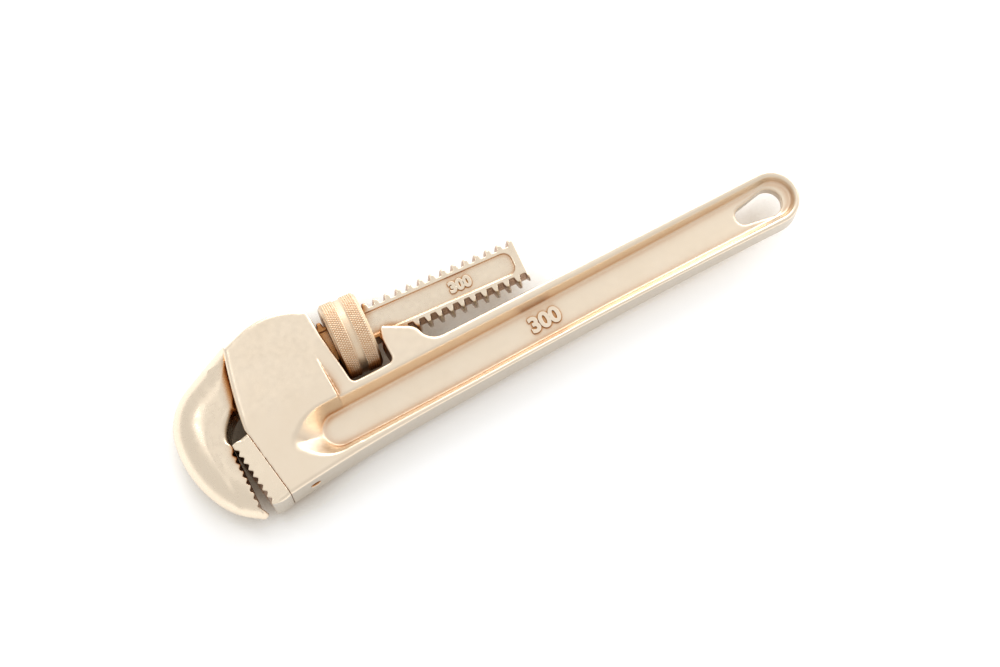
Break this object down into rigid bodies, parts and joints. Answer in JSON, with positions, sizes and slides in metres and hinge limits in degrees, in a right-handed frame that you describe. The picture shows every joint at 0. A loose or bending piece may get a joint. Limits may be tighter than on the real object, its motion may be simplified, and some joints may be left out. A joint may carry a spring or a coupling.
{
  "type": "pipe wrench",
  "caption": "Straight pipe wrench with a cast I-section handle, a toothed heel jaw, and a toothed hook jaw whose threaded shank is run in and out by a knurled nut.",
  "frame": {"origin": "middle of the closed wrench in X and Y, at the height of its lowest point, the rim of the adjusting nut", "axes": "+X along the handle to its hanging end, +Y across the handle to the side of the threaded shank, +Z out of the upper face, with the mid-plane level"},
  "size_m": [0.274, 0.0708, 0.0325],
  "materials": {
    "cast_bronze": "satin aluminium bronze casting",
    "jaw_bronze": "satin aluminium bronze casting, machined teeth",
    "nut_bronze": "darker knurled bronze",
    "pin_bronze": "driven bronze pin",
    "spring_steel": "spring steel"
  },
  "bodies": {
    "frame": {"handle": "cast_bronze", "heel_jaw": "jaw_bronze", "heel_jaw_pin": "pin_bronze"},
    "rocker": {"flat_spring": "spring_steel", "spring_rivet": "spring_steel", "coil_spring": "spring_steel"},
    "jaw": {"hook_jaw": "jaw_bronze"},
    "nut": {"adjusting_nut": "nut_bronze"}
  },
  "joints": [
    {"name": "jaw_rock", "type": "hinge", "parent": "frame", "child": "rocker", "pos_m": [-0.06272, -0.00032, 0.01625], "axis": [0, 0, 1], "range_deg": [-2, 0], "stiffness_Nm_per_rad": 3, "springref_deg": 2.86, "deforming": ["coil_spring"]},
    {"name": "jaw_slide", "type": "slide", "parent": "rocker", "child": "jaw", "axis": [-0.9974, 0.0715, 0], "range_m": [0, 0.058]},
    {"name": "nut_spin", "type": "hinge", "parent": "rocker", "child": "nut", "pos_m": [-0.06156, 0.01589, 0.01625], "axis": [0.9974, -0.0715, 0], "range_deg": [0, 4180]}
  ],
  "couplings": [
    {"joint": "nut_spin", "follows": "jaw_slide", "rad_per_m": 1256.6}
  ]
}
